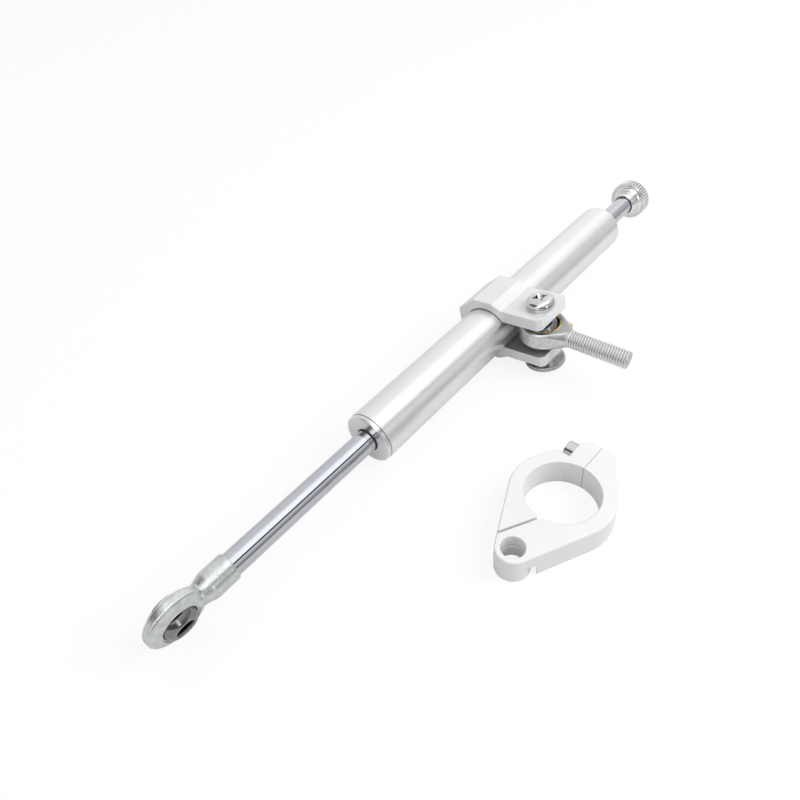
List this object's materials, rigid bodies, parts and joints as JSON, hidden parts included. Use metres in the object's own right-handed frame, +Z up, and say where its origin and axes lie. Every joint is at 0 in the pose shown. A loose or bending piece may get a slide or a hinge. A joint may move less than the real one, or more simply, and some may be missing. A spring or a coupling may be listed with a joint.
{
  "type": "motorcycle steering damper",
  "caption": "Linear steering damper: through-rod in a silver tube with a rod eye, a click adjuster knob, a body clamp with a male rod end, and a loose split fork clamp.",
  "frame": {"origin": "centre of the loose fork clamp's bore, at its underside, on the surface that the part lies on", "axes": "+Z up and along the fork clamp's bore; +X the long way, from the rod eye to the adjuster knob; the damper lies at +Y of the fork clamp"},
  "size_m": [0.3464, 0.1154, 0.0383],
  "materials": {
    "anodised_tube": "satin silver anodised, turned",
    "anodised_clamp": "satin silver anodised, milled",
    "chromed_rod": "ground and hard chromed",
    "polished_knob": "turned, polished, knurled grip",
    "plated_forging": "forged, zinc plated",
    "plated_screw": "bright zinc plated",
    "polished_ball": "ground and polished bearing steel",
    "spring_steel": "plain spring steel",
    "brass_race": "turned brass",
    "bronze_bush": "sintered bronze",
    "black_rubber": "moulded rubber",
    "dark_band": "moulded bearing band"
  },
  "bodies": {
    "barrel": {"tube": "anodised_tube", "front_end_cap": "anodised_tube", "rear_end_cap": "anodised_tube", "front_scraper": "black_rubber", "rear_scraper": "black_rubber", "front_rod_seal": "black_rubber", "rear_rod_seal": "black_rubber", "front_guide_bush": "bronze_bush", "rear_guide_bush": "bronze_bush", "front_cap_oring": "black_rubber", "rear_cap_oring": "black_rubber", "rear_retaining_ring": "spring_steel"},
    "rod": {"piston_rod": "chromed_rod", "piston": "anodised_tube", "piston_band": "dark_band", "piston_clip_front": "spring_steel", "piston_clip_rear": "spring_steel", "knob_snap_ring": "spring_steel", "rod_eye": "plated_forging", "rod_eye_race": "plated_forging"},
    "eye_ball": {"rod_eye_ball": "polished_ball"},
    "knob": {"adjuster_knob": "polished_knob", "adjuster_spindle": "spring_steel", "knob_screw": "plated_screw", "detent_ball": "polished_ball", "detent_spring": "spring_steel"},
    "clamp": {"body_clamp": "anodised_clamp", "clamp_bolt": "plated_screw", "clamp_nut": "plated_forging", "spacer_upper": "plated_screw", "spacer_lower": "plated_screw"},
    "bearing_ball": {"rod_end_ball": "polished_ball"},
    "rod_end": {"rod_end_housing": "plated_forging", "rod_end_race": "brass_race", "grease_nipple": "brass_race"},
    "fork_clamp": {"fork_clamp_body": "anodised_clamp", "fork_clamp_cap": "anodised_clamp", "fork_clamp_bolts": "plated_screw"}
  },
  "joints": [
    {"name": "rod_slide", "type": "slide", "parent": "barrel", "child": "rod", "axis": [0.9998, 0, 0.0208], "range_m": [-0.022, 0.074]},
    {"name": "rod_eye_ball_tilt", "type": "hinge", "parent": "rod", "child": "eye_ball", "pos_m": [-0.12648, 0.0778, 0.01246], "axis": [0.9998, 0, 0.0208], "range_deg": [-21, 7]},
    {"name": "knob_turn", "type": "hinge", "parent": "rod", "child": "knob", "pos_m": [0.19615, 0.0778, 0.01917], "axis": [0.9998, 0, 0.0208], "range_deg": [-180, 180]},
    {"name": "clamp_slide", "type": "slide", "parent": "barrel", "child": "clamp", "axis": [0.9998, 0, 0.0208], "range_m": [-0.028, 0.0807]},
    {"name": "rod_end_swing", "type": "hinge", "parent": "clamp", "child": "bearing_ball", "pos_m": [0.07211, 0.05445, 0.01999], "axis": [-0.0206, 0.1439, 0.9894], "range_deg": [-90, 90]},
    {"name": "rod_end_tilt", "type": "hinge", "parent": "bearing_ball", "child": "rod_end", "pos_m": [0.07211, 0.05445, 0.01999], "axis": [-0.9971, -0.0759, -0.0097], "range_deg": [0, 20]},
    {"name": "fork_clamp_lift", "type": "slide", "parent": "barrel", "child": "fork_clamp", "axis": [0, 0, 1], "range_m": [0, 0.05]}
  ]
}
